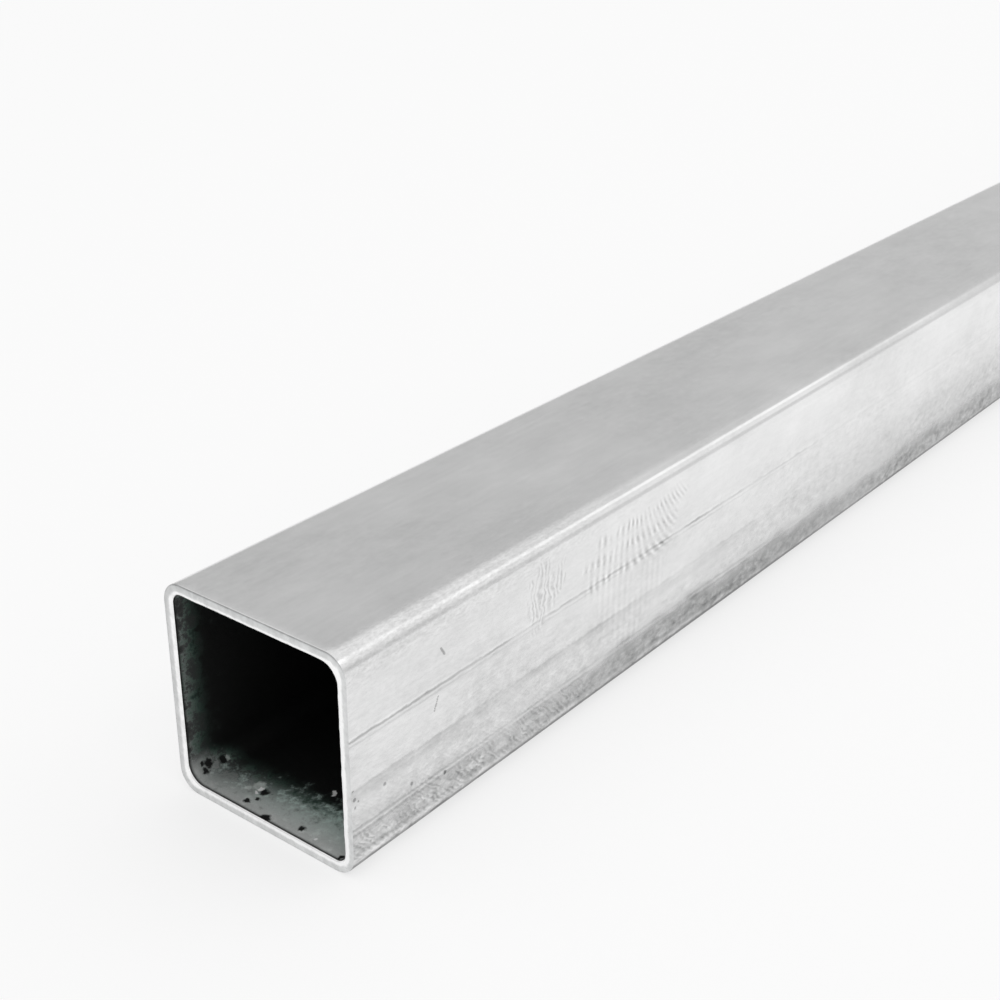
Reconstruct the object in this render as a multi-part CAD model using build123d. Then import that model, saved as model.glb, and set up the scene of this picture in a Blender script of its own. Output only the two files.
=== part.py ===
from build123d import *
import os

# Square steel tube: a hollow section rolled from strip and sawn square at both ends.
# It lies along X on its underside, and the origin is the middle of that underside.
# Millimetres, +Z up.

# Square section, across the outside
side = 40.0
wall = 2.0

# Inside radii of the corners. The strip is bent to the first. In two opposite corners metal has
# gathered as the round tube was squared, so the inside fills to the second and the wall is thicker.
bend = 2.0
gathered_bend = 3.3

# Stock length, and the chamfer that takes the burr off the sawn ends
length = 1000.0
deburr = 0.3


def outer_outline():
    """Square with every corner rounded to the bend and the thickness of the strip."""
    outline = Rectangle(side, side)
    return fillet(outline.vertices(), bend + wall)


def bore_outline():
    """Square hole, tight at upper back and lower front, fuller at the two other corners."""
    width = side - 2 * wall
    outline = Rectangle(width, width)
    tight_corners = [v for v in outline.vertices() if v.X * v.Y > 0]
    outline = fillet(tight_corners, bend)
    full_corners = [v for v in outline.vertices() if v.X * v.Y < 0]
    return fillet(full_corners, gathered_bend)


def square_tube():
    """The wall between the two outlines, drawn out along X, with both ends deburred inside and out."""
    end_plane = Plane.YZ.offset(-length / 2)
    section = end_plane * Pos(0, side / 2) * (outer_outline() - bore_outline())
    tube = extrude(section, length)
    end_edges = tube.faces().filter_by(Axis.X).edges()
    return chamfer(end_edges, deburr)


os.makedirs("parts", exist_ok=True)
export_step(square_tube(), "parts/square_tube.step")
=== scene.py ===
# %% [markdown]
# # A square steel tube
# This is a metre of square hollow section. Flat strip is rolled into a round tube, its edges are
# welded together, the round is squeezed square between rollers, and the result is sawn to length.
# It is one piece of metal, so this scene has one piece too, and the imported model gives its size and
# place. The model is loaded first, and its box is kept so that the finished piece can be held to it.

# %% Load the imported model
import math
import bmesh
import bpy
from mathutils import Matrix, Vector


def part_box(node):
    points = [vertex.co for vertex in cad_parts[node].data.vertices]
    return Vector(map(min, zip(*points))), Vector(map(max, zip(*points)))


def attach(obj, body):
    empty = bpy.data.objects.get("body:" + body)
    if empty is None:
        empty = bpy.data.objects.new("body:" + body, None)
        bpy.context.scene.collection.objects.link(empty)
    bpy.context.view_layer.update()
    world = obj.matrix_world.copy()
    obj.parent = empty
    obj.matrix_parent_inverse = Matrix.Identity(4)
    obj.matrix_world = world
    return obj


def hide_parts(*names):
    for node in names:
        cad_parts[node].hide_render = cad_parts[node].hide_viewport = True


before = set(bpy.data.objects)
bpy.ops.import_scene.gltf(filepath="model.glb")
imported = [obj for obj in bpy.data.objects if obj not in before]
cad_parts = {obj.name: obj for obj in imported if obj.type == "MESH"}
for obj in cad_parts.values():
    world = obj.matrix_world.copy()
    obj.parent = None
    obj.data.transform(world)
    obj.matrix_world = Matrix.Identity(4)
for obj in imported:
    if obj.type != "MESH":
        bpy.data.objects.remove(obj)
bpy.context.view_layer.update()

MM = 0.001
TINY = 0.001 * MM
low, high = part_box("square_tube")
length = high.x - low.x
side = high.z - low.z
middle = side / 2
print(f"The tube is {length / MM:.0f} mm long and {side / MM:.0f} mm square")

# %% [markdown]
# ## The camera
# A square tube looks right only when its edges run to the right vanishing points, so the camera
# comes before anything else. It stands about a quarter of a metre from the sawn end, above the tube
# and to one side, and looks along it and down through a moderately long lens.

# %% Place the camera
LENS_MM = 56.98
SENSOR_MM = 36
CAMERA_PLACE = (-0.64008, -0.15941, 0.15981)
HEADING = math.radians(38.362)
TILT_DOWN = math.radians(25.575)
LEAN = math.radians(0.255)

turn = Matrix.Rotation(HEADING - math.pi / 2, 4, "Z")
nod = Matrix.Rotation(math.pi / 2 - TILT_DOWN, 4, "X")
roll = Matrix.Rotation(LEAN, 4, "Z")
lens = bpy.data.cameras.new("camera")
lens.lens = LENS_MM
lens.sensor_width = SENSOR_MM
lens.clip_start = 10 * MM
camera = bpy.data.objects.new("camera", lens)
camera.matrix_world = Matrix.Translation(CAMERA_PLACE) @ turn @ nod @ roll
bpy.context.scene.collection.objects.link(camera)
bpy.context.scene.camera = camera
bpy.context.scene.view_settings.view_transform = "Standard"
print(f"The camera looks {math.degrees(TILT_DOWN):.1f} degrees down through a {LENS_MM:.0f} mm lens")

# %% [markdown]
# ## Working in edit mode from a script
# Every operator acts on what is selected. Two helpers make that plain: one opens a piece in edit
# mode, and one selects the vertices, edges or faces that pass a test on their place or normal.

# %% Selection helpers
def work_on(piece):
    """Opens one piece in edit mode, with nothing else selected."""
    if bpy.context.object and bpy.context.object.mode != "OBJECT":
        bpy.ops.object.mode_set(mode="OBJECT")
    bpy.ops.object.select_all(action="DESELECT")
    bpy.context.view_layer.objects.active = piece
    piece.select_set(True)
    bpy.ops.object.mode_set(mode="EDIT")


def select(kind, wanted):
    """Selects the elements of one kind, VERT, EDGE or FACE, that pass the test, and says how many."""
    bpy.ops.mesh.select_mode(type=kind)
    bpy.ops.mesh.select_all(action="DESELECT")
    mesh = bpy.context.object.data
    shape = bmesh.from_edit_mesh(mesh)
    shape.normal_update()
    elements = {"VERT": shape.verts, "EDGE": shape.edges, "FACE": shape.faces}[kind]
    chosen = [element for element in elements if wanted(element)]
    for element in chosen:
        element.select_set(True)
    shape.select_flush_mode()
    bmesh.update_edit_mesh(mesh)
    return len(chosen)


def place(element):
    """Middle of an edge or a face."""
    return sum((v.co for v in element.verts), element.verts[0].co * 0) / len(element.verts)


print("Ready to work on a piece: work_on, select and place")

# %% [markdown]
# ## The rolled skins
# The section has two outlines. The outer one has a bend of the strip's inside radius plus its
# thickness at every corner. The bore is tight in two opposite corners and fuller in the other two,
# where metal gathered as the tube was squared. Solidify would give one even wall, so each skin
# starts as its own cube, has its long edges bevelled to its own radii, and loses its ends.

# %% Roll the outer skin and the bore
WALL = 2.0 * MM
BEND = 2.0 * MM
GATHERED_BEND = 3.3 * MM
CORNER_STEPS = 14
TIGHT, GATHERED = 1, -1


def runs_along(edge):
    """True for an edge that runs the length of the tube."""
    a, b = edge.verts
    return abs(a.co.x - b.co.x) > 0.5 * MM and abs(a.co.z - b.co.z) < TINY


def corner_kind(point):
    """TIGHT at the upper back and lower front, GATHERED at the two other corners."""
    return TIGHT if point.y * (point.z - middle) > 0 else GATHERED


def rolled_skin(name, width, radii):
    """A duct, open at both ends, with the long edges of each kind of corner rounded to its radius."""
    bpy.ops.object.select_all(action="DESELECT")
    bpy.ops.mesh.primitive_cube_add(size=1, location=(0, 0, middle), scale=(length, width, width))
    skin = bpy.context.object
    skin.name = name
    bpy.ops.object.transform_apply(location=True, rotation=True, scale=True)
    work_on(skin)
    for kind, radius in radii.items():
        select("EDGE", lambda e: runs_along(e) and corner_kind(place(e)) == kind)
        bpy.ops.mesh.bevel(offset=radius, segments=CORNER_STEPS, affect="EDGES", clamp_overlap=False)
    select("FACE", lambda f: abs(f.normal.x) > 0.9)
    bpy.ops.mesh.delete(type="ONLY_FACE")
    bpy.ops.object.mode_set(mode="OBJECT")
    print(f"{name}: {len(skin.data.vertices)} points after rolling")
    return skin


outer_skin = rolled_skin("square_tube_stock", side, {TIGHT: BEND + WALL, GATHERED: BEND + WALL})
bore_skin = rolled_skin("bore_skin", side - 2 * WALL, {TIGHT: BEND, GATHERED: GATHERED_BEND})

# %% [markdown]
# ## Rows across the front wall, where the weld runs
# The weld is the seam where the two edges of the strip met. Outside, its bead was planed off, which
# leaves a narrow flat with a fine groove along its middle. Rows of points are cut there with bisect,
# so that the trace can be pushed into shape later. The bore gets the same rows, because two rims
# with equal points bridge into a clean ring of quads.

# %% Cut the weld rows
WELD_HEIGHT = 25.5 * MM
ROW_GAP = 0.3 * MM
ROWS_EACH_SIDE = 4
weld_rows = [WELD_HEIGHT + n * ROW_GAP for n in range(-ROWS_EACH_SIDE, ROWS_EACH_SIDE + 1)]


def faces_front(face):
    """True for a face of the front wall, of either skin."""
    return place(face).y < 0 and abs(face.normal.y) > 0.99


for skin in (outer_skin, bore_skin):
    work_on(skin)
    for row in weld_rows:
        select("FACE", faces_front)
        bpy.ops.mesh.bisect(plane_co=(0, 0, row), plane_no=(0, 0, 1))
    bpy.ops.object.mode_set(mode="OBJECT")
    print(f"{skin.name}: {len(skin.data.vertices)} points with {len(weld_rows)} weld rows")

# %% [markdown]
# ## Points enough to take fine relief
# Long plain strips can't follow an uneven surface. The flats are divided across to about a
# millimetre: first the wide ones, then the narrower one left above the weld rows. All strips are
# divided along the tube too, coarsely in the middle and every 2 mm near the sawn ends, where the eye
# comes closest. A strip is divided by its opposite edges, so it stays a neat grid.

# %% Divide the skins
STRIPS_IN_A_FLAT = 32
LONG_STEPS = 60
FINE_STEPS = 8
FINE_REACH = 33 * MM
WIDE_FLAT = 20 * MM
NARROW_FLAT = 2 * MM

for skin in (outer_skin, bore_skin):
    work_on(skin)
    for least, strips in ((WIDE_FLAT, STRIPS_IN_A_FLAT), (NARROW_FLAT, STRIPS_IN_A_FLAT // 2)):
        select("EDGE", lambda e: abs(place(e).x) > length / 2 - TINY and e.calc_length() > least)
        bpy.ops.mesh.subdivide(number_cuts=strips - 1)
    select("EDGE", runs_along)
    bpy.ops.mesh.subdivide(number_cuts=LONG_STEPS - 1)
    select("EDGE", lambda e: runs_along(e) and abs(place(e).x) > length / 2 - FINE_REACH)
    bpy.ops.mesh.subdivide(number_cuts=FINE_STEPS - 1)
    bpy.ops.object.mode_set(mode="OBJECT")
    print(f"{skin.name}: {len(skin.data.polygons)} faces")

# %% [markdown]
# ## One piece of metal
# The bore is turned inside out, so that its faces look into the hole, and joined to the outer skin.
# At each end the two open rims are bridged. The result is a closed solid, as the real tube is.

# %% Join the skins into a tube
RIM_RINGS = 3

work_on(bore_skin)
bpy.ops.mesh.select_all(action="SELECT")
bpy.ops.mesh.flip_normals()
bpy.ops.object.mode_set(mode="OBJECT")
bpy.ops.object.select_all(action="DESELECT")
bore_skin.select_set(True)
outer_skin.select_set(True)
bpy.context.view_layer.objects.active = outer_skin
bpy.ops.object.join()
tube = outer_skin
work_on(tube)
for end in (-1, 1):
    select("EDGE", lambda e: e.is_boundary and place(e).x * end > 0)
    bpy.ops.mesh.bridge_edge_loops(number_cuts=RIM_RINGS - 1, interpolation="LINEAR")
bpy.ops.mesh.select_all(action="SELECT")
bpy.ops.mesh.normals_make_consistent(inside=False)
open_edges = select("EDGE", lambda e: not e.is_manifold)
print(f"The tube has {len(tube.data.polygons)} faces and {open_edges} open edges")

# %% [markdown]
# ## The planed weld
# The planed strip lies a hair below the wall, and the seam is a fine groove along its middle. Each
# row is moved in by a formula: a raised cosine, which is flat where it meets the wall.

# %% Shape the weld's trace
PLANED_DEPTH = 0.02 * MM
SEAM_DEPTH = 0.035 * MM
half_weld = ROWS_EACH_SIDE * ROW_GAP

for row in weld_rows:
    sunk = PLANED_DEPTH * min(1, 1 + math.cos(math.pi * (row - WELD_HEIGHT) / half_weld))
    depth = SEAM_DEPTH if abs(row - WELD_HEIGHT) < ROW_GAP / 2 else sunk
    select("VERT", lambda v: abs(v.co.y + side / 2) < TINY and abs(v.co.z - row) < 10 * TINY)
    bpy.ops.transform.translate(value=(0, depth, 0))
print(f"The seam is {SEAM_DEPTH / MM:.2f} mm deep in a strip {2 * half_weld / MM:.1f} mm wide")

# %% [markdown]
# ## The sawn ends
# A saw leaves a burr, and a file takes it off and leaves a narrow chamfer. It catches the light as
# a thin bright line round the mouth, so it is real geometry: the edges between the sawn face and the
# skins are bevelled.

# %% Deburr the ends
DEBURR = 0.3 * MM


def at_rim(edge):
    """True for an edge between a sawn face and one of the skins."""
    facing = sorted(abs(face.normal.x) for face in edge.link_faces)
    return facing[0] < 0.5 and facing[1] > 0.9


rim_edges = select("EDGE", at_rim)
bpy.ops.mesh.bevel(offset=DEBURR, segments=3, affect="EDGES", clamp_overlap=True)
bpy.ops.object.mode_set(mode="OBJECT")
print(f"{rim_edges} rim edges deburred, {len(tube.data.polygons)} faces in all")

# %% [markdown]
# ## Never quite even
# Rolled steel isn't dead flat, and a hand with a file never takes off the same amount twice. A
# Displace modifier sinks the surface by a cloud pattern. Its middle level is 1, so it only ever takes
# metal away, and the tube stays inside its true size. The file marks go deeper, but only round the
# mouths, by way of a vertex group.

# %% Make it uneven
ROLLED = {"depth": 0.02 * MM, "grain": 12 * MM}
FILED = {"depth": 0.16 * MM, "grain": 1.6 * MM}


def wear(piece, depth, grain, group=""):
    """Sinks the surface by up to this depth, in clouds about this large, all over or in one group."""
    clouds = bpy.data.textures.new("clouds", "CLOUDS")
    clouds.noise_scale = grain
    sinking = piece.modifiers.new("wear", "DISPLACE")
    sinking.texture = clouds
    sinking.texture_coords = "LOCAL"
    sinking.mid_level = 1
    sinking.strength = depth
    sinking.vertex_group = group
    bpy.ops.object.modifier_apply(modifier=sinking.name)


def inside_outline(point, margin):
    """True for a point that lies deeper than this margin under the outer skin."""
    return max(abs(point.y), abs(point.z - middle)) < side / 2 - margin


# the filed points: the chamfer on the bore's edge, and not the one on the outer edge
work_on(tube)
filed = tube.vertex_groups.new(name="filed")
points = select("VERT", lambda v: abs(v.co.x) > length / 2 - 0.9 * DEBURR
                and inside_outline(v.co, WALL - 1.1 * DEBURR))
bpy.ops.object.vertex_group_assign()
bpy.ops.object.mode_set(mode="OBJECT")
wear(tube, **ROLLED)
wear(tube, **FILED, group=filed.name)
tube.vertex_groups.clear()
bpy.ops.object.shade_smooth_by_angle(angle=math.radians(35))
print(f"{points} points round the mouths filed by up to {FILED['depth'] / MM:.2f} mm")

# %% [markdown]
# ## Colours and nodes
# Steel has a grey reflectance, so a colour here is how much of the room it gives back. Colours are
# written as sRGB hex and turned to linear light in one place. A pattern's grain in millimetres is
# turned into the scale that noise takes. One helper adds a node, sets it up and links it, one gives
# a new material with the tube's coordinates to draw on, and one links what is drawn to its shader.

# %% Material helpers
# what a Mix node needs to mix colours, and to give the mixed colour
COLOURS = {"output": 2, "data_type": "RGBA"}


def linear(hex_colour):
    """Turns an sRGB hex colour into the linear colour that a shader takes."""
    parts = [int(hex_colour[i:i + 2], 16) / 255 for i in (1, 3, 5)]
    return [p / 12.92 if p <= 0.04045 else ((p + 0.055) / 1.055) ** 2.4 for p in parts] + [1]


def cells(*grain):
    """Scale that gives noise this grain along x, y and z, in millimetres."""
    return tuple(1 / (size * MM) for size in grain)


def add(tree, kind, inputs=None, output=0, **settings):
    """Adds a node and gives one of its outputs. Inputs are values, or other outputs to link."""
    node = tree.nodes.new(kind)
    for name, value in settings.items():
        setattr(node, name, value)
    for socket, value in (inputs or {}).items():
        if isinstance(value, bpy.types.NodeSocket):
            tree.links.new(value, node.inputs[socket])
        else:
            node.inputs[socket].default_value = value
    return node.outputs[output]


def new_material(name, metallic):
    """A material with its shader, and the object coordinates: the point, then x, y and z."""
    material = bpy.data.materials.new(name)
    material.use_nodes = True
    tree = material.node_tree
    shader = tree.nodes["Principled BSDF"]
    shader.inputs["Metallic"].default_value = metallic
    point = add(tree, "ShaderNodeTexCoord", output="Object")
    apart = tree.nodes.new("ShaderNodeSeparateXYZ")
    tree.links.new(point, apart.inputs[0])
    return material, tree, shader, (point, *apart.outputs)


def show(tree, shader, **sockets):
    """Links outputs to the shader's sockets, whose names are written with _ for a space."""
    for name, output in sockets.items():
        tree.links.new(output, shader.inputs[name.replace("_", " ")])


print(f"A middle grey, #808080, gives back {linear('#808080')[0]:.2f} of the light")

# %% [markdown]
# ## Marks and torn edges
# Drops, nicks and patches are drawn by how far a point is from a place, so one list of places gives
# them all. A plain distance gives a round mark. Where the point is first moved about by noise, the
# mark gets a torn edge, as a dried drop has.

# %% Mark helpers
EDGE_BLUR = 0.25


def marks(tree, point, places):
    """1 on small marks and 0 elsewhere. Each mark is x, y, z and its radius, in millimetres."""
    mask = None
    for x, y, z, radius in places:
        away = add(tree, "ShaderNodeVectorMath", {0: point, 1: (x * MM, y * MM, z * MM)},
                   output="Value", operation="DISTANCE")
        spot = add(tree, "ShaderNodeMapRange", {"Value": away, "From Min": (1 + EDGE_BLUR) * radius * MM,
                                                "From Max": (1 - EDGE_BLUR) * radius * MM})
        mask = spot if mask is None else add(tree, "ShaderNodeMath", {0: mask, 1: spot}, operation="MAXIMUM")
    return mask


def ragged_point(tree, point, grain, reach):
    """The point, moved about by noise of this grain, so that what is drawn on it gets a torn edge."""
    moved = add(tree, "ShaderNodeTexNoise", {"Vector": point, "Scale": 1 / grain}, output="Color")
    for operation, amount in (("SUBTRACT", 0.5), ("MULTIPLY", reach)):
        moved = add(tree, "ShaderNodeVectorMath", {0: moved, 1: (amount,) * 3}, operation=operation)
    return add(tree, "ShaderNodeVectorMath", {0: point, 1: moved}, operation="ADD")


print(f"A mark's edge fades over {2 * EDGE_BLUR:.0%} of its radius")

# %% [markdown]
# ## Bright rolled steel
# The outside is bright, lightly dulled steel. A metal mirrors the room and has little colour of its
# own, so the eye sees soft light, broken up by whatever dulls the surface. Slow clouds come from
# handling, with smaller blotches in them. Fine long lines are where the rolls slid along it, and the
# mottle is where oil dried. Each is noise, drawn out along the tube by its own grain. Real rolling
# lines and specks are finer than a pixel, so they are drawn as coarse as they need to be to show.

# %% The skin: patterns
# each pattern is its grain along x, y and z in millimetres, its detail and its roughness
PATTERNS = {"clouds": ((45, 22, 22), 5, 0.6), "lines": ((83, 0.67, 0.67), 3, 0.5),
            "blotches": ((13.3, 7.7, 7.7), 4, 0.6), "mottle": ((2.4, 1.4, 1.4), 7, 0.72),
            "specks": ((1, 0.42, 0.42), 2, 0.5), "fading": ((11, 1000, 5), 4, 0.5)}

steel, tree, shader, (point, x, y, z) = new_material("bright_rolled_steel", metallic=1)
pattern = {}
for name, (grain, detail, roughness) in PATTERNS.items():
    field = add(tree, "ShaderNodeMapping", {"Vector": point, "Scale": cells(*grain)})
    pattern[name] = add(tree, "ShaderNodeTexNoise", {"Vector": field, "Scale": 1, "Detail": detail,
                                                     "Roughness": roughness})
clouds, lines, blotches, mottle, specks, fading = pattern.values()
print(f"{steel.name}: {len(pattern)} patterns")

# %% [markdown]
# ## One tone for everything
# The patterns are added up into one number, the tone, and all that follows adds to it too. Steel with
# less tone is duller, and with more it is brighter. The mottle counts for more in some clouds than in
# others, and for more low on the tube, where oil ran down.

# %% The skin: tone
CLOUD_TONE = 0.05
LINE_TONE = 0.05
BLOTCH_TONE = 0.17

low_down = add(tree, "ShaderNodeMapRange", {"Value": z, "From Min": 32 * MM, "From Max": 12 * MM,
                                            "To Min": 0.3, "To Max": 1.2})
soiled = add(tree, "ShaderNodeMapRange", {"Value": clouds, "From Min": 0.42, "From Max": 0.6,
                                          "To Min": 0.18, "To Max": 0.6})
soiled = add(tree, "ShaderNodeMath", {0: soiled, 1: low_down}, operation="MULTIPLY")
tone = add(tree, "ShaderNodeMapRange", {"Value": clouds, "From Min": 0.3, "From Max": 0.7,
                                        "To Min": CLOUD_TONE, "To Max": -CLOUD_TONE})
tone = add(tree, "ShaderNodeMath", {0: lines, 1: LINE_TONE, 2: tone}, operation="MULTIPLY_ADD")
blotched = add(tree, "ShaderNodeMath", {0: blotches, 1: 0.5}, operation="SUBTRACT")
tone = add(tree, "ShaderNodeMath", {0: blotched, 1: BLOTCH_TONE, 2: tone}, operation="MULTIPLY_ADD")
mottled = add(tree, "ShaderNodeMath", {0: mottle, 1: 0.5}, operation="SUBTRACT")
tone = add(tree, "ShaderNodeMath", {0: mottled, 1: soiled, 2: tone}, operation="MULTIPLY_ADD")
print(f"{steel.name}: {len(tree.nodes)} nodes so far")

# %% [markdown]
# ## Speckle where it was held
# Hands and clamps held the tube near its mouths, and left a fine speckle on the front wall, with more
# of it on the upper bend. It is the fine noise with a little of the long lines in it, and it fades
# with the distance from the nearer sawn end.

# %% The skin: speckle
LINE_SHARE = 0.3

reach = add(tree, "ShaderNodeMath", {0: x}, operation="ABSOLUTE")
reach = add(tree, "ShaderNodeMath", {0: length / 2, 1: reach}, operation="SUBTRACT")
speckle = add(tree, "ShaderNodeMath", {0: lines, 1: LINE_SHARE, 2: specks}, operation="MULTIPLY_ADD")
speckle = add(tree, "ShaderNodeMath", {0: speckle, 1: 0.5 * (1 + LINE_SHARE)}, operation="SUBTRACT")
on_side = add(tree, "ShaderNodeMapRange", {"Value": y, "From Min": -15 * MM, "From Max": -17 * MM})
on_bend = add(tree, "ShaderNodeMapRange", {"Value": z, "From Min": 34 * MM, "From Max": 36.5 * MM,
                                           "To Min": 1, "To Max": 3})
for share in (on_side, on_bend):
    speckle = add(tree, "ShaderNodeMath", {0: speckle, 1: share}, operation="MULTIPLY")
held = add(tree, "ShaderNodeMapRange", {"Value": reach, "From Min": 85 * MM, "From Max": 30 * MM,
                                        "To Min": 0.02, "To Max": 0.12})
tone = add(tree, "ShaderNodeMath", {0: speckle, 1: held, 2: tone}, operation="MULTIPLY_ADD")
print(f"{steel.name}: {len(tree.nodes)} nodes so far")

# %% [markdown]
# ## The dull band low on the side
# The lowest quarter of the wall is greyer and rougher. It has a ragged edge, which is a height with
# noise added. It darkens for the first 90 mm, is lighter again from 140 mm on, and has a fainter grey
# above it. Under the lower bend it is darkest: painted shade, the mirrored shadow under the tube.

# %% The skin: film
LOW_BAND_HEIGHT = 10.2 * MM
UNDERSIDE_SHADE = -0.4

ragged = add(tree, "ShaderNodeMath", {0: blotches, 1: -9 * MM, 2: z}, operation="MULTIPLY_ADD")
ragged = add(tree, "ShaderNodeMath", {0: mottle, 1: -6 * MM, 2: ragged}, operation="MULTIPLY_ADD")
# the low band: darker and rougher towards the bottom of the wall
low_band = add(tree, "ShaderNodeMapRange", {"Value": ragged, "From Min": LOW_BAND_HEIGHT - 7.5 * MM,
                                        "From Max": LOW_BAND_HEIGHT - 11.5 * MM}, interpolation_type="SMOOTHSTEP")
haze_above = add(tree, "ShaderNodeMapRange", {"Value": z, "From Min": 24 * MM, "From Max": 10 * MM})
# painted shade: the lower bend is darkened as the mirrored shadow under the tube
under = add(tree, "ShaderNodeMapRange", {"Value": z, "From Min": 3 * MM, "From Max": 2.4 * MM})
darker = add(tree, "ShaderNodeMapRange", {"Value": reach, "From Min": 10 * MM, "From Max": 90 * MM,
                                          "To Min": -0.08, "To Max": -0.32})
lighter_further_in = add(tree, "ShaderNodeMapRange", {"Value": reach, "From Min": 140 * MM, "From Max": 185 * MM,
                                         "To Max": 0.14})
darker = add(tree, "ShaderNodeMath", {0: darker, 1: lighter_further_in}, operation="ADD")
darker = add(tree, "ShaderNodeMath", {0: mottled, 1: 0.5, 2: darker}, operation="MULTIPLY_ADD")
hazier = add(tree, "ShaderNodeMapRange", {"Value": reach, "From Min": 120 * MM, "From Max": 190 * MM,
                                          "To Min": -0.06, "To Max": -0.15})
for mask, change in ((low_band, darker), (haze_above, hazier), (under, UNDERSIDE_SHADE)):
    tone = add(tree, "ShaderNodeMath", {0: mask, 1: change, 2: tone}, operation="MULTIPLY_ADD")
print(f"{steel.name}: {len(tree.nodes)} nodes so far")

# %% [markdown]
# ## Strokes pressed into the low band
# Close to the sawn ends, fine slanting strokes are pressed into the low band. They are the sine of a
# distance on a slant, bent by the blotches and the mottle, and noise drawn out on a slant gathers
# them in patches. They end above the lower bend, where nothing pressed.

# %% The skin: strokes
STROKE_PITCH = 1.2 * MM
STROKE_REACH = 60 * MM
STROKE_SLANT = math.radians(-37)
STROKE_TONE = 0.12

strokes = add(tree, "ShaderNodeMath", {0: x, 1: z}, operation="ADD")
for noise, bend_reach in ((blotches, 8 * MM), (mottle, 2.2 * MM)):
    strokes = add(tree, "ShaderNodeMath", {0: noise, 1: bend_reach, 2: strokes}, operation="MULTIPLY_ADD")
strokes = add(tree, "ShaderNodeMath", {0: strokes, 1: 2 * math.pi / STROKE_PITCH}, operation="MULTIPLY")
strokes = add(tree, "ShaderNodeMath", {0: strokes}, operation="SINE")
ridged = add(tree, "ShaderNodeMapRange", {"Value": strokes, "From Min": -0.9, "From Max": 0.8,
                                          "To Min": 0.3, "To Max": -1})
slanted = add(tree, "ShaderNodeMapping", {"Vector": point, "Rotation": (0, STROKE_SLANT, 0)})
slanted = add(tree, "ShaderNodeMapping", {"Vector": slanted, "Scale": cells(3.8, 2.5, 1.1)})
patches = add(tree, "ShaderNodeTexNoise", {"Vector": slanted, "Scale": 1, "Detail": 3, "Distortion": 0.6})
patchy = add(tree, "ShaderNodeMapRange", {"Value": patches, "From Min": 0.42, "From Max": 0.58,
                                          "To Min": 0.05, "To Max": 1})
near_end = add(tree, "ShaderNodeMapRange", {"Value": reach, "From Min": 1.2 * STROKE_REACH,
                                            "From Max": 0.8 * STROKE_REACH}, interpolation_type="SMOOTHSTEP")
in_low_band = add(tree, "ShaderNodeMath", {0: haze_above, 1: 0.3, 2: low_band}, operation="MULTIPLY_ADD")
off_bend = add(tree, "ShaderNodeMapRange", {"Value": z, "From Min": 2.6 * MM, "From Max": 4.2 * MM})
for share in (patchy, near_end, in_low_band, off_bend):
    ridged = add(tree, "ShaderNodeMath", {0: ridged, 1: share}, operation="MULTIPLY")
tone = add(tree, "ShaderNodeMath", {0: ridged, 1: STROKE_TONE, 2: tone}, operation="MULTIPLY_ADD")
print(f"{steel.name}: {len(tree.nodes)} nodes so far")

# %% [markdown]
# ## The weld's painted shade, and streaks from the guides
# The seam's groove is painted a little darker, a painted shade, and a bright thread above it is a
# painted highlight. Lower down, guides rubbed fainter streaks into the wall, and a light line at
# 3.5 mm, on the lower bend, is a painted reflection of the floor. Each line is the distance from a
# height, which the mottle makes a little uneven. The front wall is picked out by its y. Slow noise
# along the tube lets the lines come and go, they are clear by the mouth, and they fade from 100 mm on.

# %% The skin: weld line and guide streaks
# each line is a height, half its width, both in millimetres, and its tone
# the dark line at 25.5 mm is painted shade in the seam's groove, the thread at 26 mm a painted highlight, and
# the light line at 3.5 mm a painted reflection of the floor
STREAKS = ((25.5, 0.4, -0.36), (26, 0.35, 0.07), (24.6, 0.35, -0.14), (16.4, 0.5, -0.13),
           (15.4, 1.6, -0.14), (9.3, 0.35, -0.15), (8.75, 0.3, 0.1), (8.2, 0.35, -0.13), (8.6, 2.4, -0.1),
           (4.6, 0.5, -0.09), (3.5, 0.6, 0.2))
UNEVEN = 1.1 * MM

on_front = add(tree, "ShaderNodeMapRange", {"Value": y, "From Min": -18 * MM, "From Max": -19.5 * MM})
fading = add(tree, "ShaderNodeMapRange", {"Value": fading, "From Min": 0.45, "From Max": 0.65, "To Min": 0.3})
by_mouth = add(tree, "ShaderNodeMapRange", {"Value": reach, "From Min": 48 * MM, "From Max": 18 * MM})
fading = add(tree, "ShaderNodeMath", {0: fading, 1: by_mouth}, operation="MAXIMUM")
fainter = add(tree, "ShaderNodeMapRange", {"Value": reach, "From Min": 100 * MM, "From Max": 150 * MM,
                                           "To Min": 1, "To Max": 0.15})
for share in (on_front, fainter):
    fading = add(tree, "ShaderNodeMath", {0: fading, 1: share}, operation="MULTIPLY")

uneven_z = add(tree, "ShaderNodeMath", {0: mottled, 1: UNEVEN, 2: z}, operation="MULTIPLY_ADD")
for line_height, half_width, line_tone in STREAKS:
    away = add(tree, "ShaderNodeMath", {0: uneven_z, 1: line_height * MM}, operation="SUBTRACT")
    away = add(tree, "ShaderNodeMath", {0: away}, operation="ABSOLUTE")
    line = add(tree, "ShaderNodeMapRange", {"Value": away, "From Min": half_width * MM, "From Max": 0,
                                            "To Max": line_tone})
    tone = add(tree, "ShaderNodeMath", {0: line, 1: fading, 2: tone}, operation="MULTIPLY_ADD")
print(f"{steel.name}: {len(STREAKS)} lines, {len(tree.nodes)} nodes so far")

# %% [markdown]
# ## A brighter upper half
# From 40 mm on, the upper half of the front wall is brighter.
# The change is slow, both up the wall and along it, so that no edge shows.

# %% The skin: brighter upper half
UPPER_HALF_TONE = 0.07

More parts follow.
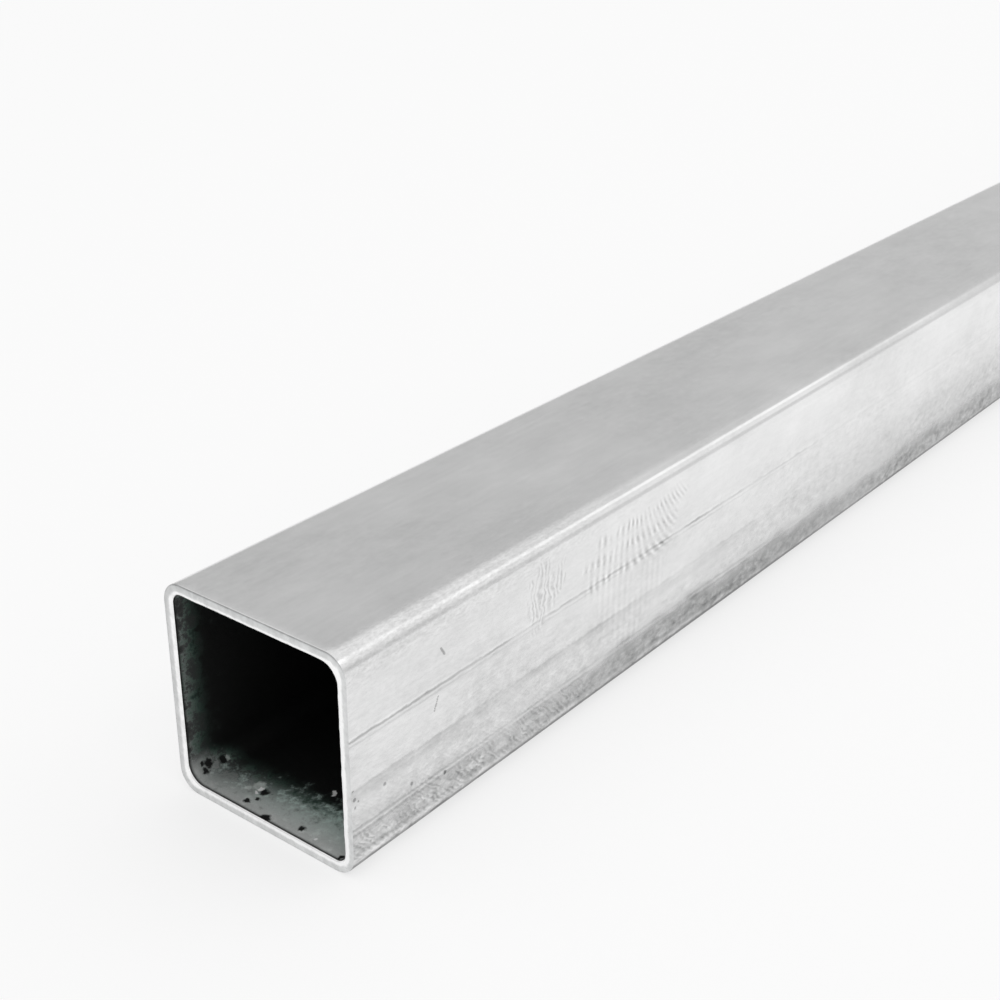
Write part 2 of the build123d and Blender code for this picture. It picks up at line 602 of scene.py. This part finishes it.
upper_half = add(tree, "ShaderNodeMapRange", {"Value": z, "From Min": 14 * MM, "From Max": 34 * MM})
upper_half = add(tree, "ShaderNodeMath", {0: upper_half, 1: on_front}, operation="MULTIPLY")
further_in = add(tree, "ShaderNodeMapRange", {"Value": reach, "From Min": 40 * MM, "From Max": 100 * MM,
                                              "To Max": UPPER_HALF_TONE})
tone = add(tree, "ShaderNodeMath", {0: upper_half, 1: further_in, 2: tone}, operation="MULTIPLY_ADD")
print(f"{steel.name}: {len(tree.nodes)} nodes so far")

# %% [markdown]
# ## Chatter marks
# Where the rolls shook, they left a patch of fine ripples across the wall, about 2 mm apart, that
# lean over towards one end. Their relief is a few thousandths of a millimetre, so they are drawn as
# tone and bump. A ripple is the sine of a distance along the tube. The lean adds some height to that
# distance, the clouds make it uneven, and slower waves up the wall deepen the ripples in places.

# %% The skin: leaning ripples
RIPPLE_PITCH = 1.9 * MM
WAVE_PITCH = 4.1 * MM
CHATTER_PLACES = ((-435, -20, 27, 5), (-425, -20, 28, 6.5), (-416, -20, 28, 6), (-412, -20, 33, 4))

lean = add(tree, "ShaderNodeMapRange", {"Value": x, "From Min": -427 * MM, "From Max": -405 * MM,
                                        "To Max": 1.6})
slid = add(tree, "ShaderNodeMath", {0: z, 1: -28 * MM}, operation="ADD")
slid = add(tree, "ShaderNodeMath", {0: slid, 1: lean, 2: x}, operation="MULTIPLY_ADD")
slid = add(tree, "ShaderNodeMath", {0: clouds, 1: 5 * MM, 2: slid}, operation="MULTIPLY_ADD")
ripples = add(tree, "ShaderNodeMath", {0: slid, 1: 2 * math.pi / RIPPLE_PITCH}, operation="MULTIPLY")
ripples = add(tree, "ShaderNodeMath", {0: ripples}, operation="SINE")
ripples = add(tree, "ShaderNodeMapRange", {"Value": ripples, "From Min": -1, "To Min": -1, "To Max": 0.4})
waves = add(tree, "ShaderNodeMath", {0: z, 1: 2 * math.pi / WAVE_PITCH, 2: 0.65}, operation="MULTIPLY_ADD")
waves = add(tree, "ShaderNodeMath", {0: waves}, operation="SINE")
waves = add(tree, "ShaderNodeMapRange", {"Value": waves, "From Min": -1, "To Min": 0.4, "To Max": 1.5})
torn_point = ragged_point(tree, point, 4 * MM, 12 * MM)
chatter = marks(tree, torn_point, CHATTER_PLACES)
below_bend = add(tree, "ShaderNodeMapRange", {"Value": z, "From Min": 38 * MM, "From Max": 34 * MM})
above_weld = add(tree, "ShaderNodeMapRange", {"Value": z, "From Min": 21.5 * MM, "From Max": 25 * MM})
broken = add(tree, "ShaderNodeMapRange", {"Value": mottle, "From Min": 0.42, "From Max": 0.56,
                                          "To Min": 0.2, "To Max": 0.7})
fade_in = add(tree, "ShaderNodeMapRange", {"Value": x, "From Min": -445 * MM, "From Max": -438 * MM})
fade_out = add(tree, "ShaderNodeMapRange", {"Value": x, "From Min": -404 * MM, "From Max": -414 * MM})
for share in (below_bend, above_weld, broken, fade_in, fade_out, waves, on_front, ripples):
    chatter = add(tree, "ShaderNodeMath", {0: chatter, 1: share}, operation="MULTIPLY")
print(f"{steel.name}: ripples {RIPPLE_PITCH / MM:.1f} mm apart in {len(CHATTER_PLACES)} patches")

# %% [markdown]
# ## Plumb ripples and a swirl
# Below the weld the ripples stand plumb and are fainter. Nearer the mouth there is a smaller swirl of
# ripples, which is the same sine on a point that noise has moved about.

# %% The skin: plumb ripples and swirl
PLUMB_PITCH = 1.8 * MM
PLUMB_SHARE = 0.09
SWIRL_PITCH = 1.2 * MM
PLUMB_PLACES = ((-430, -20, 19, 6.5), (-425, -20, 14, 6), (-418, -20, 21, 4))
SWIRL_PLACES = ((-451, -20, 31.5, 4), (-453, -20, 28.5, 4))
CHATTER_TONE = 0.27

plumb = add(tree, "ShaderNodeMath", {0: x, 1: 2 * math.pi / PLUMB_PITCH}, operation="MULTIPLY")
plumb = add(tree, "ShaderNodeMath", {0: plumb}, operation="SINE")
plumb_marks = marks(tree, torn_point, PLUMB_PLACES)
plumb = add(tree, "ShaderNodeMath", {0: plumb, 1: plumb_marks}, operation="MULTIPLY")
chatter = add(tree, "ShaderNodeMath", {0: plumb, 1: PLUMB_SHARE, 2: chatter}, operation="MULTIPLY_ADD")
bent_point = ragged_point(tree, point, 3 * MM, 4 * MM)
bent_x = add(tree, "ShaderNodeSeparateXYZ", {0: bent_point})
swirl = add(tree, "ShaderNodeMath", {0: bent_x, 1: 2 * math.pi / SWIRL_PITCH}, operation="MULTIPLY")
swirl = add(tree, "ShaderNodeMath", {0: swirl}, operation="SINE")
swirl = add(tree, "ShaderNodeMapRange", {"Value": swirl, "From Min": -1, "To Min": -1, "To Max": 0.3})
for share in (marks(tree, torn_point, SWIRL_PLACES), broken):
    swirl = add(tree, "ShaderNodeMath", {0: swirl, 1: share}, operation="MULTIPLY")
chatter = add(tree, "ShaderNodeMath", {0: swirl, 1: chatter}, operation="ADD")
tone = add(tree, "ShaderNodeMath", {0: chatter, 1: CHATTER_TONE, 2: tone}, operation="MULTIPLY_ADD")
print(f"{steel.name}: {len(tree.nodes)} nodes so far")

# %% [markdown]
# ## Nicks and scratches
# Small knocks leave dark nicks where the steel is dented. Each is one small mark, and a row of marks
# from one point to another is a scratch.

# %% The skin: nicks and scratches
NICKS = ((-492.4, -20, 14.1, 0.33), (-486.2, -20, 10.7, 0.33), (-478.1, -20, 8.4, 0.4),
         (-499.2, -20, 14.9, 0.35), (-499.5, -20, 16.6, 0.2), (-498.4, -20, 14.2, 0.2),
         (-499.1, -20, 13.4, 0.22))
# each scratch is x and z where it starts, x and z where it ends, and half its width
SCRATCHES = (((-478.6, 32), (-477.8, 30.7), 0.22), ((-479.5, 23.6), (-480.4, 21.4), 0.18))
STEPS = 6
NICK_TONE = -0.33

for (x_from, z_from), (x_to, z_to), radius in SCRATCHES:
    NICKS += tuple((x_from + (x_to - x_from) * n / STEPS, -20, z_from + (z_to - z_from) * n / STEPS, radius)
                   for n in range(STEPS + 1))
nicks = marks(tree, ragged_point(tree, point, 0.5 * MM, 0.35 * MM), NICKS)
tone = add(tree, "ShaderNodeMath", {0: nicks, 1: NICK_TONE, 2: tone}, operation="MULTIPLY_ADD")
print(f"{steel.name}: {len(NICKS)} nicks, with {len(SCRATCHES)} scratches among them")

# %% [markdown]
# ## From tone to finish
# The tone moves the colour between a dull and a bright grey. The low band is rougher as well as
# darker, so it blurs what it mirrors. The bump carries the same marks: the ripples, lines and strokes in
# thousandths of a millimetre, and the nicks in hundredths.

# %% The skin: colour, roughness and bump
DULL_TONE, BRIGHT_TONE = -0.62, 0.26
LOW_BAND_ROUGHNESS = 0.14
# depths in millimetres
DEPTHS = ((lines, 0.001), (ridged, 0.002), (nicks, -0.03))

shade = add(tree, "ShaderNodeMapRange", {"Value": tone, "From Min": DULL_TONE, "From Max": BRIGHT_TONE})
colour = add(tree, "ShaderNodeMix", {0: shade, 6: linear("#606161"), 7: linear("#FFFFFF")}, **COLOURS)
haze = add(tree, "ShaderNodeMapRange", {"Value": clouds, "From Min": 0.35, "From Max": 0.7,
                                        "To Min": 0.15, "To Max": 0.24})
haze = add(tree, "ShaderNodeMath", {0: low_band, 1: LOW_BAND_ROUGHNESS, 2: haze}, operation="MULTIPLY_ADD")
relief = add(tree, "ShaderNodeMath", {0: chatter, 1: 0.004}, operation="MULTIPLY")
for mask, depth in DEPTHS:
    relief = add(tree, "ShaderNodeMath", {0: mask, 1: depth, 2: relief}, operation="MULTIPLY_ADD")
bumpy = add(tree, "ShaderNodeBump", {"Height": relief, "Distance": MM, "Strength": 1})
show(tree, shader, Base_Color=colour, Roughness=haze, Normal=bumpy)
print(f"{steel.name}: {len(tree.nodes)} nodes in all")

# %% [markdown]
# ## The bore
# Nothing polishes the inside. It keeps the dark scale from the mill, which is an oxide and so not
# metallic: it is rough and gives back almost no light. Near a sawn mouth, dried coolant has left a
# thin greenish film over it on all four walls. The film is thickest in the veins of one noise, the
# grime, and the same noise tears its inner edge. Where the film and the dust end, some 15 mm in, the
# bore is near black: partly the scale, and partly painted shade deeper in the bore. The first half
# millimetre behind the cut is dark too, a painted shadow line under the rim.

# %% The bore: scale and film
GRIME_GRAIN = 2.4 * MM
GRIME_REACH = 17 * MM

bore, tree, shader, (point, x, y, z) = new_material("mill_scale_in_the_bore", metallic=0)
shader.inputs["Roughness"].default_value = 0.6
grime = add(tree, "ShaderNodeTexNoise", {"Vector": point, "Scale": 1 / GRIME_GRAIN, "Detail": 8,
                                          "Roughness": 0.72})
into_bore = add(tree, "ShaderNodeMath", {0: x}, operation="ABSOLUTE")
into_bore = add(tree, "ShaderNodeMath", {0: length / 2, 1: into_bore}, operation="SUBTRACT")
torn_reach = add(tree, "ShaderNodeMath", {0: grime, 1: GRIME_REACH, 2: into_bore}, operation="MULTIPLY_ADD")
on_lower_wall = add(tree, "ShaderNodeMapRange", {"Value": z, "From Min": 7 * MM, "From Max": 2.5 * MM,
                                                 "To Min": 0.04}, interpolation_type="SMOOTHSTEP")
film_edge = add(tree, "ShaderNodeMath", {0: on_lower_wall, 1: -6 * MM, 2: torn_reach},
                operation="MULTIPLY_ADD")
# where the film ends, the near black scale beyond is also painted shade deeper in the bore
film_before_shade = add(tree, "ShaderNodeMapRange", {"Value": film_edge, "From Min": 15 * MM, "From Max": 8 * MM},
                 interpolation_type="SMOOTHSTEP")
coolant = add(tree, "ShaderNodeMapRange", {"Value": grime, "From Min": 0.44, "From Max": 0.55,
                                           "To Min": 0.05, "To Max": 0.62})
veins = add(tree, "ShaderNodeMath", {0: grime, 1: 0.49}, operation="SUBTRACT")
veins = add(tree, "ShaderNodeMath", {0: veins}, operation="ABSOLUTE")
veins = add(tree, "ShaderNodeMapRange", {"Value": veins, "From Max": 0.025, "To Min": 0.1})
# painted shadow: the first half millimetre behind the cut is kept dark, as the shade under the rim
painted_shadow_line = add(tree, "ShaderNodeMapRange", {"Value": into_bore, "From Min": 0.5 * MM, "From Max": 1 * MM,
                                              "To Min": 0.04})
for share in (film_before_shade, veins, painted_shadow_line):
    coolant = add(tree, "ShaderNodeMath", {0: coolant, 1: share}, operation="MULTIPLY")
deeper = add(tree, "ShaderNodeMapRange", {"Value": film_edge, "From Min": 9.5 * MM, "From Max": 13 * MM})
greenish = add(tree, "ShaderNodeMix", {0: deeper, 6: linear("#B4BAB7"), 7: linear("#84B29E")}, **COLOURS)
colour = add(tree, "ShaderNodeMix", {0: coolant, 6: linear("#040505"), 7: greenish}, **COLOURS)
print(f"{bore.name}: {len(tree.nodes)} nodes so far")

# %% [markdown]
# ## Dust in the bore
# Dust from the saw lies on the lower wall. It reaches further in towards the front, is thinner
# towards the back, and ends in a ragged edge where coolant stuck it to the scale. Deeper in it took
# up more coolant, so it is greener there.

# %% The bore: dust
DUST_REACH_BEFORE_SHADE = 13.5 * MM
FRONT_REACH = 0.22

dust_edge = add(tree, "ShaderNodeMath", {0: y, 1: FRONT_REACH, 2: torn_reach}, operation="MULTIPLY_ADD")
dust_edge = add(tree, "ShaderNodeMath", {0: grime, 1: 10 * MM, 2: dust_edge}, operation="MULTIPLY_ADD")
# past the dust's edge the bore is left near black, partly painted shade deeper in
dust = add(tree, "ShaderNodeMapRange", {"Value": dust_edge, "From Min": DUST_REACH_BEFORE_SHADE + 10.5 * MM,
                                        "From Max": DUST_REACH_BEFORE_SHADE + 4 * MM}, interpolation_type="SMOOTHSTEP")
worn = add(tree, "ShaderNodeMapRange", {"Value": grime, "From Min": 0.36, "From Max": 0.62,
                                        "To Min": 1, "To Max": 0.55})
thinner = add(tree, "ShaderNodeMapRange", {"Value": y, "From Min": -4 * MM, "From Max": 10 * MM,
                                           "To Min": 1, "To Max": 0.76})
for share in (on_lower_wall, painted_shadow_line, worn, thinner):
    dust = add(tree, "ShaderNodeMath", {0: dust, 1: share}, operation="MULTIPLY")
damp = add(tree, "ShaderNodeMapRange", {"Value": into_bore, "From Min": 1.5 * MM, "From Max": 8 * MM})
dusty = add(tree, "ShaderNodeMix", {0: damp, 6: linear("#DDE0DE"), 7: linear("#C8DFD7")}, **COLOURS)
colour = add(tree, "ShaderNodeMix", {0: dust, 6: colour, 7: dusty}, **COLOURS)
print(f"{bore.name}: {len(tree.nodes)} nodes so far")

# %% [markdown]
# ## Drops, crusts and flecks
# Drops of coolant washed the dust away and dried as dark spots. Beside some of them it dried as a
# pale crust, and a few bright flecks are chips from the saw, painted white as a painted glint. All
# have torn edges.

# %% The bore: drops, crusts and flecks
DROPS = ((-499.3, 0.5, 2, 0.95), (-497.5, -6.2, 2, 0.65), (-494.5, 5.5, 2, 0.85), (-497.8, 6.2, 2, 0.65),
         (-496.5, 5.2, 2, 0.5), (-497.2, 16.6, 3, 0.75), (-496, 17.2, 3.6, 0.8), (-493.2, 17, 3, 0.8),
         (-495.6, 17.4, 3.8, 0.55), (-497, 17.5, 4, 0.5), (-499.1, -17.2, 2.6, 0.8),
         (-498.8, -16.2, 2, 0.5))
CRUSTS = ((-493.6, 7.6, 2, 1.1), (-495.2, 8.6, 2, 0.6), (-492.2, 17.2, 2.6, 0.6))
CRUST_SHARE = 0.6
FLECKS = ((-498.1, -9.8, 2, 0.3), (-487.8, -4, 2, 0.36), (-487.3, -3.6, 2, 0.36), (-486.9, -3.3, 2, 0.36),
          (-494.2, 6.7, 2, 0.5), (-495.4, 6.6, 2, 0.35))
GRIME_RELIEF = 0.15 * MM

torn_point = ragged_point(tree, point, 0.7 * MM, 1.1 * MM)
crusted = marks(tree, torn_point, CRUSTS)
for share in (worn, CRUST_SHARE):
    crusted = add(tree, "ShaderNodeMath", {0: crusted, 1: share}, operation="MULTIPLY")
dropped = marks(tree, torn_point, DROPS)
# the flecks are saw chips, painted white where they glint: a painted glint
fleck_glints = marks(tree, torn_point, FLECKS)
for mask, hex_colour in ((crusted, "#EEF6F1"), (dropped, "#060707"), (fleck_glints, "#FAFBFA")):
    colour = add(tree, "ShaderNodeMix", {0: mask, 6: colour, 7: linear(hex_colour)}, **COLOURS)
bumpy = add(tree, "ShaderNodeBump", {"Height": grime, "Distance": GRIME_RELIEF, "Strength": 1})
show(tree, shader, Base_Color=colour, Normal=bumpy)
print(f"{bore.name}: {len(DROPS)} drops, {len(tree.nodes)} nodes in all")

# %% [markdown]
# ## The sawn rim
# Freshly cut steel is brighter than the skin, and the filed edge of the bore is brightest, so the eye
# reads the rim as a pale frame with a white inner line. Across the wall, the tone goes by the depth
# under the outer outline. That outline is a rounded square, so the depth is measured from the middle
# of each corner's bend: what is left of the bend's radius. A little noise makes the bands uneven, and
# on the weld's side they lie further out.

# %% The rim: depth under the outline
CUT_GRAIN = 1.1 * MM
FAR = 10

cut, tree, shader, (point, _, y, _) = new_material("sawn_steel", metallic=1)
half_flat = middle - BEND - WALL
past_bend = add(tree, "ShaderNodeVectorMath", {0: point, 1: (0, 0, -middle)}, operation="ADD")
past_bend = add(tree, "ShaderNodeVectorMath", {0: past_bend}, operation="ABSOLUTE")
# taking FAR from x leaves only y and z to count
for operation, amount in (("SUBTRACT", (FAR, half_flat, half_flat)), ("MAXIMUM", (0, 0, 0))):
    past_bend = add(tree, "ShaderNodeVectorMath", {0: past_bend, 1: amount}, operation=operation)
outward = add(tree, "ShaderNodeVectorMath", {0: past_bend}, output="Value", operation="LENGTH")
grain = add(tree, "ShaderNodeTexNoise", {"Vector": point, "Scale": 1 / CUT_GRAIN, "Detail": 4,
                                          "Roughness": 0.6})
inward = add(tree, "ShaderNodeMath", {0: BEND + WALL, 1: outward}, operation="SUBTRACT")
inward = add(tree, "ShaderNodeMath", {0: grain, 1: 0.5 * MM, 2: inward}, operation="MULTIPLY_ADD")
weld_side = add(tree, "ShaderNodeMapRange", {"Value": y, "From Min": -17.5 * MM, "From Max": -18.5 * MM,
                                             "To Max": 0.4 * MM})
inward = add(tree, "ShaderNodeMath", {0: inward, 1: weld_side}, operation="ADD")
print(f"{cut.name}: {len(tree.nodes)} nodes so far")

# %% [markdown]
# ## From the skin to the filed edge
# A colour ramp gives each depth its grey, from the skin inward: 0 is at the outer outline and 1 at
# the bore. The noise has moved the depths in by a quarter of a millimetre, so the ramp starts there.
# The darker grey at the outer outline is painted shade, where the burr shades the edge.

# %% The rim: tones across the wall
# the first, darker grey is painted shade under the burr, and the white inner line is the bright filed steel
ACROSS_THE_WALL = ((0.06, "#C4C5C5"), (0.2, "#DCDDDD"), (0.56, "#E4E5E5"), (0.74, "#FFFFFF"))
NOISE_SHIFT = 0.25 * MM

across_wall = add(tree, "ShaderNodeMapRange", {"Value": inward, "From Min": NOISE_SHIFT,
                                               "From Max": WALL + NOISE_SHIFT})
ramp = tree.nodes.new("ShaderNodeValToRGB")
tree.links.new(across_wall, ramp.inputs[0])
stops = ramp.color_ramp.elements
for n, (position, hex_colour) in enumerate(ACROSS_THE_WALL):
    stop = stops[n] if n < len(stops) else stops.new(position)
    stop.position = position
    stop.color = linear(hex_colour)
print(f"{cut.name}: {len(ACROSS_THE_WALL)} tones across {WALL / MM:.0f} mm")

# %% [markdown]
# ## Saw marks
# The blade left slanting marks. Real ones are finer than a pixel, so they are drawn about a
# millimetre wide to show. They make the cut brighter and duller by turns, and carry a little relief.
# The cut gives back less than the filed edge, and it is a touch cleaner on the weld's side.

# %% The rim: saw marks
SAW_SLANT = math.radians(20)
SAW_RELIEF = 0.03 * MM
CUT_SHARE = 0.86

slanted = add(tree, "ShaderNodeMapping", {"Vector": point, "Rotation": (SAW_SLANT, 0, 0)})
slanted = add(tree, "ShaderNodeMapping", {"Vector": slanted, "Scale": cells(1000, 1.1, 1.4)})
saw_marks = add(tree, "ShaderNodeTexNoise", {"Vector": slanted, "Scale": 1, "Detail": 3})
bite = add(tree, "ShaderNodeMapRange", {"Value": saw_marks, "From Min": 0.35, "From Max": 0.65,
                                        "To Min": 0.9, "To Max": 1.07})
cleaner = add(tree, "ShaderNodeMapRange", {"Value": y, "From Min": -side / 2, "From Max": side / 2,
                                           "To Min": 1.08, "To Max": 0.97})
filed_edge = add(tree, "ShaderNodeMapRange", {"Value": inward, "From Min": 1.35 * MM, "From Max": 1.75 * MM,
                                              "To Min": CUT_SHARE})
for share in (cleaner, filed_edge):
    bite = add(tree, "ShaderNodeMath", {0: bite, 1: share}, operation="MULTIPLY")
colour = add(tree, "ShaderNodeMix", {0: 1, 6: ramp.outputs[0], 7: bite}, blend_type="MULTIPLY", **COLOURS)
dull = add(tree, "ShaderNodeMapRange", {"Value": grain, "To Min": 0.2, "To Max": 0.42})
bumpy = add(tree, "ShaderNodeBump", {"Height": saw_marks, "Distance": SAW_RELIEF, "Strength": 1})
show(tree, shader, Base_Color=colour, Roughness=dull, Normal=bumpy)
print(f"{cut.name}: {len(tree.nodes)} nodes in all")

# %% [markdown]
# ## Each finish on its own faces
# The sawn rim is what faces along the tube, the chamfers included, the bore is what looks towards
# its middle line, and the skin is the rest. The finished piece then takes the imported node's place.

# %% Give out the materials
for material in (steel, bore, cut):
    tube.data.materials.append(material)


def in_bore(face):
    """True for a face of the inner skin."""
    spot = place(face)
    return face.normal.y * spot.y + face.normal.z * (spot.z - middle) < 0


def in_rim(face):
    """True for a face of a sawn end or one of its chamfers."""
    return abs(face.normal.x) > 0.3


work_on(tube)
for index, test in ((1, in_bore), (2, in_rim)):
    count = select("FACE", test)
    tube.active_material_index = index
    bpy.ops.object.material_slot_assign()
    print(f"{tube.data.materials[index].name}: {count} faces")
bpy.ops.object.mode_set(mode="OBJECT")
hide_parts("square_tube")
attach(tube, "root")

# %% [markdown]
# ## The floor
# The tube lies on a wide sheet of white paper. Paper is matt and mirrors nothing, so the eye sees only
# its colour and a soft shadow. Its edges are turned up and spread outward, as a studio's backdrop is,
# so that a low view has no grey horizon. The camera and the bright steel see it whiter than the
# light makes it, with a fainter shadow. Nothing matt is lit by this glow.

# %% The floor
PAPER_WIDTH = 40
PAPER_RISE = 2.2
PAPER_SPREAD = 1.3
GLOW = 0.7

bpy.ops.object.select_all(action="DESELECT")
bpy.ops.mesh.primitive_plane_add(size=PAPER_WIDTH)
floor = bpy.context.object
floor.name = "floor"
work_on(floor)
select("EDGE", lambda e: e.is_boundary)
bpy.ops.mesh.extrude_edges_move(TRANSFORM_OT_translate={"value": (0, 0, PAPER_RISE)})
bpy.ops.transform.resize(value=(PAPER_SPREAD, PAPER_SPREAD, 1))
bpy.ops.object.mode_set(mode="OBJECT")
white, tree, shader, _ = new_material("white_paper", metallic=0)
shader.inputs["Base Color"].default_value = linear("#FAFAFA")
shader.inputs["Roughness"].default_value = 1
shader.inputs["Specular IOR Level"].default_value = 0
rays = tree.nodes.new("ShaderNodeLightPath").outputs
seen = add(tree, "ShaderNodeMath", {0: rays["Is Camera Ray"], 1: rays["Is Glossy Ray"]}, operation="MAXIMUM")
seen = add(tree, "ShaderNodeMath", {0: seen, 1: rays["Is Transmission Ray"]}, operation="MAXIMUM")
seen = add(tree, "ShaderNodeMath", {0: seen, 1: GLOW}, operation="MULTIPLY")
glow = add(tree, "ShaderNodeEmission", {"Color": (1, 1, 1, 1), "Strength": 1})
lit = add(tree, "ShaderNodeMixShader", {0: seen, 1: shader.outputs[0], 2: glow})
tree.links.new(lit, tree.nodes["Material Output"].inputs["Surface"])
floor.data.materials.append(white)
print(f"{floor.name}: {floor.dimensions.x:.0f} m wide, {len(floor.data.polygons)} faces")

# %% [markdown]
# ## The room
# Bright metal shows the room more than itself, so the room matters most. It has grey walls and a
# white ceiling, and the light grows softly from one to the other with the height of the direction
# looked in. The near side, where the softboxes hang, is a little brighter.

# %% The room
WALL_LIGHT = 0.68
CEILING_LIGHT = 1.01
WALL_TOP, CEILING_EDGE = 0.55, 0.8
NEAR_SIDE_EXTRA = 0.09

world = bpy.data.worlds.new("studio")
world.use_nodes = True
bpy.context.scene.world = world
tree = world.node_tree
way = add(tree, "ShaderNodeTexCoord", output="Generated")
apart = tree.nodes.new("ShaderNodeSeparateXYZ")
tree.links.new(way, apart.inputs[0])
light = add(tree, "ShaderNodeMapRange", {"Value": apart.outputs["Z"], "From Min": WALL_TOP,
                                         "From Max": CEILING_EDGE, "To Min": WALL_LIGHT,
                                         "To Max": CEILING_LIGHT}, interpolation_type="SMOOTHSTEP")
light = add(tree, "ShaderNodeMath", {0: apart.outputs["Y"], 1: -NEAR_SIDE_EXTRA, 2: light},
            operation="MULTIPLY_ADD")
tree.links.new(light, tree.nodes["Background"].inputs["Color"])
print(f"The room gives {WALL_LIGHT} from its walls and {CEILING_LIGHT} from its ceiling")

# %% [markdown]
# ## The softboxes
# Two long softboxes hang beside the tube, each turned to face its near upper edge. The narrow one
# draws a bright line along the rounded edge, and the wide one softens it.

# %% The softboxes
SOFTBOX_AWAY = 1.2
SOFTBOX_ALONG = 0.3
SOFTBOX_LENGTH = 3.2
# each box is how far it leans over to the near side in degrees, its width and its power in watts
SOFTBOXES = (("bright_softbox", 34, 0.33, 0.85), ("wide_softbox", 46, 0.83, 1.7))

for name, degrees, width, watts in SOFTBOXES:
    lean = math.radians(degrees)
    beside = -side / 2 - SOFTBOX_AWAY * math.sin(lean)
    above = side + SOFTBOX_AWAY * math.cos(lean)
    bpy.ops.object.light_add(type="AREA", rotation=(lean, 0, 0), location=(SOFTBOX_ALONG, beside, above))
    softbox = bpy.context.object
    softbox.name = name
    softbox.data.shape = "RECTANGLE"
    softbox.data.size = SOFTBOX_LENGTH
    softbox.data.size_y = width
    softbox.data.energy = watts
    print(f"{name}: {SOFTBOX_LENGTH:.1f} m long, {width:.2f} m wide")
